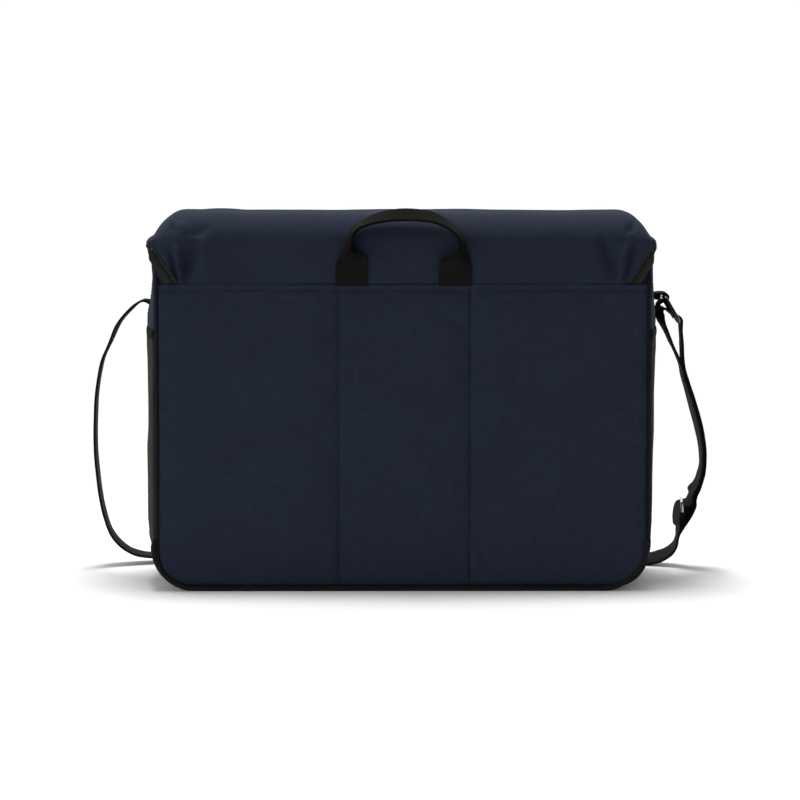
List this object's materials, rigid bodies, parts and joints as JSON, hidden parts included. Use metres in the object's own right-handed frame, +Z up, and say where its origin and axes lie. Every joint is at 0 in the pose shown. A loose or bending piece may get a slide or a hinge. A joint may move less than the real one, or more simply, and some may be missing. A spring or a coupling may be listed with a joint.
{
  "type": "diaper bag",
  "caption": "Messenger-style diaper bag: padded rear panel, zipped lid, mesh side pockets, webbing carry handle and an adjustable shoulder strap on a ring.",
  "frame": {"origin": "centre of the base's underside, where the bag stands", "axes": "+Z up, -Y the padded rear panel that lies against the wearer, +Y the front with the slip pocket, +X to the right as seen from behind the rear panel"},
  "size_m": [0.5103, 0.2008, 0.3064],
  "materials": {
    "navy_fabric": "matte woven polyester",
    "base_fabric": "matte coated woven fabric",
    "black_webbing": "matte ribbed webbing and binding",
    "pocket_mesh": "ribbed stretch mesh",
    "lining_fabric": "smooth light lining",
    "foam_padding": "open-cell foam",
    "stiffener_board": "plain board",
    "zip_coil": "nylon coil and tape",
    "dark_metal": "glossy black-plated",
    "mat_fabric": "wipe-clean coated fabric"
  },
  "bodies": {
    "root": {"back_panel": "navy_fabric", "front_panel": "navy_fabric", "back_pad_left": "foam_padding", "back_pad_center": "foam_padding", "back_pad_right": "foam_padding", "front_pad": "foam_padding", "back_piping": "black_webbing", "front_piping": "black_webbing", "gusset_left": "navy_fabric", "gusset_right": "navy_fabric", "base_panel": "base_fabric", "base_board": "stiffener_board", "corner_gore_left": "navy_fabric", "corner_gore_right": "navy_fabric", "lining_tub": "lining_fabric", "mat_sleeve": "lining_fabric", "changing_mat": "mat_fabric", "inner_pocket": "lining_fabric", "inner_pocket_elastic": "black_webbing", "side_pocket_left": "pocket_mesh", "side_pocket_right": "pocket_mesh", "side_pocket_binding_left": "black_webbing", "side_pocket_binding_right": "black_webbing", "front_pocket": "navy_fabric", "front_pocket_binding": "black_webbing", "zip_tape_lower": "zip_coil", "strap_patch_left": "black_webbing", "strap_patch_right": "black_webbing"},
    "lid": {"lid_shell": "navy_fabric", "lid_lining": "lining_fabric", "zip_tape_upper": "zip_coil"},
    "handle": {"handle_webbing": "black_webbing"},
    "slider_left": {"zip_slider_left": "dark_metal"},
    "slider_right": {"zip_slider_right": "dark_metal"},
    "puller_left": {"zip_puller_left": "dark_metal"},
    "puller_right": {"zip_puller_right": "dark_metal"},
    "strap": {"shoulder_strap": "black_webbing", "strap_tab_right": "black_webbing", "strap_ring_right": "dark_metal", "strap_loop": "black_webbing", "strap_adjuster": "dark_metal"}
  },
  "joints": [
    {"name": "lid_hinge", "type": "hinge", "parent": "root", "child": "lid", "pos_m": [0, -0.07, 0.246], "axis": [1, 0, 0], "range_deg": [0, 105]},
    {"name": "handle_swing", "type": "hinge", "parent": "lid", "child": "handle", "pos_m": [0, -0.0746, 0.248], "axis": [1, 0, 0], "range_deg": [0, 65]},
    {"name": "slider_left_slide", "type": "slide", "parent": "root", "child": "slider_left", "axis": [1, 0, 0], "range_m": [-0.15, 0]},
    {"name": "slider_right_slide", "type": "slide", "parent": "root", "child": "slider_right", "axis": [1, 0, 0], "range_m": [0, 0.15]},
    {"name": "puller_left_swing", "type": "hinge", "parent": "slider_left", "child": "puller_left", "pos_m": [-0.009, 0.0765, 0.278], "axis": [1, 0, 0], "range_deg": [0, 150]},
    {"name": "puller_right_swing", "type": "hinge", "parent": "slider_right", "child": "puller_right", "pos_m": [0.009, 0.0765, 0.278], "axis": [1, 0, 0], "range_deg": [0, 150]},
    {"name": "strap_swing", "type": "hinge", "parent": "root", "child": "strap", "pos_m": [0, 0, 0.2322], "axis": [1, 0, 0], "range_deg": [0, 165]}
  ]
}
